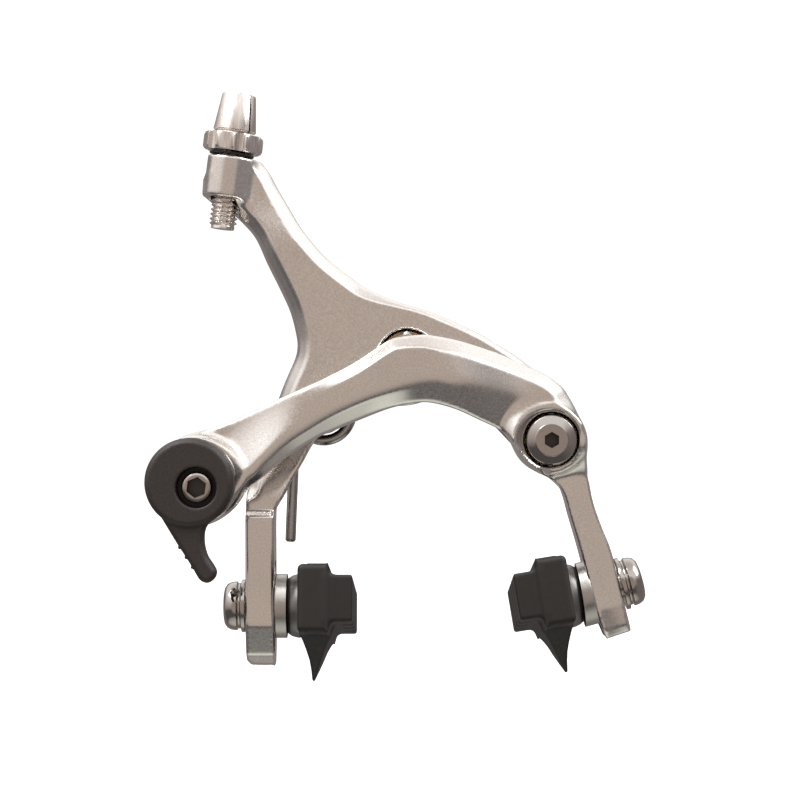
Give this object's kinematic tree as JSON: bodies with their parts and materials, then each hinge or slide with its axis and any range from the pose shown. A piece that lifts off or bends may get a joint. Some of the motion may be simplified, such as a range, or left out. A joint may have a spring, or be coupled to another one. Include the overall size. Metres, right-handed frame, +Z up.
{
  "type": "rim brake caliper",
  "caption": "Dual-pivot side-pull bicycle rim brake caliper with polished arms, quick-release lever, barrel adjuster, return spring and two adjustable brake pads.",
  "frame": {"origin": "on the centre bolt's axis at the face that meets the fork", "axes": "+X right as seen from the front, +Z up, +Y back into the fork along the centre bolt"},
  "size_m": [0.1056, 0.0686, 0.1266],
  "materials": {
    "aluminium": "polished, with a faint sandy speckle",
    "barrel_aluminium": "bright turned",
    "chrome": "bright",
    "steel": "zinc plated, satin",
    "spring_steel": "drawn wire",
    "shoe_metal": "dark grey, satin",
    "bronze": "oiled",
    "nylon": "moulded",
    "black_lever": "fine texture",
    "rubber": "moulded, matt"
  },
  "bodies": {
    "root": {"link_bracket": "steel", "center_bolt": "steel", "pivot_nut": "steel", "center_front_washer": "bronze", "center_thrust_washer": "bronze", "serrated_washer": "steel", "fork_sleeve_nut": "steel", "side_pivot_bolt": "chrome", "side_thrust_washer": "bronze", "return_spring": "spring_steel", "spring_holder": "nylon", "spring_holder_screw": "steel"},
    "rear_arm": {"y_arm": "aluminium", "y_arm_bush": "bronze", "spring_seat": "nylon", "adjuster_washer": "nylon"},
    "front_arm": {"c_arm": "aluminium", "side_pivot_bush": "bronze", "cam_bush": "nylon", "release_spring_washer": "spring_steel"},
    "release": {"release_lever": "black_lever", "release_cam": "steel"},
    "anchor": {"anchor_bolt": "chrome", "cable_clamp_plate": "steel", "anchor_nut": "steel"},
    "nut": {"adjuster_nut": "barrel_aluminium"},
    "barrel": {"adjuster_barrel": "barrel_aluminium"},
    "screw": {"centering_screw": "steel"},
    "left_bolt": {"left_pad_bolt": "chrome", "left_lock_washer": "chrome", "left_outer_washer": "chrome", "left_inner_washer": "chrome"},
    "left_shoe": {"left_shoe_holder": "shoe_metal", "left_brake_pad": "rubber"},
    "right_bolt": {"right_pad_bolt": "chrome", "right_lock_washer": "chrome", "right_outer_washer": "chrome", "right_inner_washer": "chrome"},
    "right_shoe": {"right_shoe_holder": "shoe_metal", "right_brake_pad": "rubber"}
  },
  "joints": [
    {"name": "c_arm_pivot", "type": "hinge", "parent": "root", "child": "front_arm", "pos_m": [0.0305, -0.0148, -0.0176], "axis": [0, 1, 0], "range_deg": [0, 16], "stiffness_Nm_per_rad": 0.8, "springref_deg": -34.38},
    {"name": "y_arm_pivot", "type": "hinge", "parent": "root", "child": "rear_arm", "pos_m": [0, -0.012, 0], "axis": [0, -1, 0], "range_deg": [0, 10.5], "deforming": ["return_spring"]},
    {"name": "release_lever_turn", "type": "hinge", "parent": "front_arm", "child": "release", "pos_m": [-0.0439, -0.028, -0.026], "axis": [0, 1, 0], "range_deg": [0, 120]},
    {"name": "anchor_swivel", "type": "hinge", "parent": "release", "child": "anchor", "pos_m": [-0.0435, -0.024, -0.0272], "axis": [0, 1, 0], "range_deg": [-121, 1]},
    {"name": "adjuster_nut_turn", "type": "hinge", "parent": "rear_arm", "child": "nut", "pos_m": [-0.03748, -0.012, 0.04575], "axis": [0.1271, 0, 0.9919], "range_deg": [0, 1441]},
    {"name": "adjuster_barrel_slide", "type": "slide", "parent": "rear_arm", "child": "barrel", "axis": [0.1271, 0, 0.9919], "range_m": [0, 0.004]},
    {"name": "centering_screw_turn", "type": "hinge", "parent": "rear_arm", "child": "screw", "pos_m": [0.0185, -0.012, -0.0036], "axis": [0, 0, 1], "range_deg": [-180, 180]},
    {"name": "left_pad_height", "type": "slide", "parent": "rear_arm", "child": "left_bolt", "axis": [0, 0, 1], "range_m": [-0.0035, 0.0065]},
    {"name": "left_pad_tilt", "type": "hinge", "parent": "left_bolt", "child": "left_shoe", "pos_m": [-0.0314, -0.012, -0.0535], "axis": [1, 0, 0], "range_deg": [-15, 15]},
    {"name": "right_pad_height", "type": "slide", "parent": "front_arm", "child": "right_bolt", "axis": [-0.2622, 0, 0.965], "range_m": [-0.0073, 0.0027]},
    {"name": "right_pad_tilt", "type": "hinge", "parent": "right_bolt", "child": "right_shoe", "pos_m": [0.03981, -0.012, -0.05051], "axis": [-0.9869, 0, -0.1616], "range_deg": [-15, 15]}
  ],
  "couplings": [
    {"joint": "y_arm_pivot", "follows": "c_arm_pivot", "ratio": 0.65},
    {"joint": "anchor_swivel", "follows": "release_lever_turn", "ratio": -1},
    {"joint": "adjuster_nut_turn", "follows": "adjuster_barrel_slide", "rad_per_m": 6283.2}
  ]
}
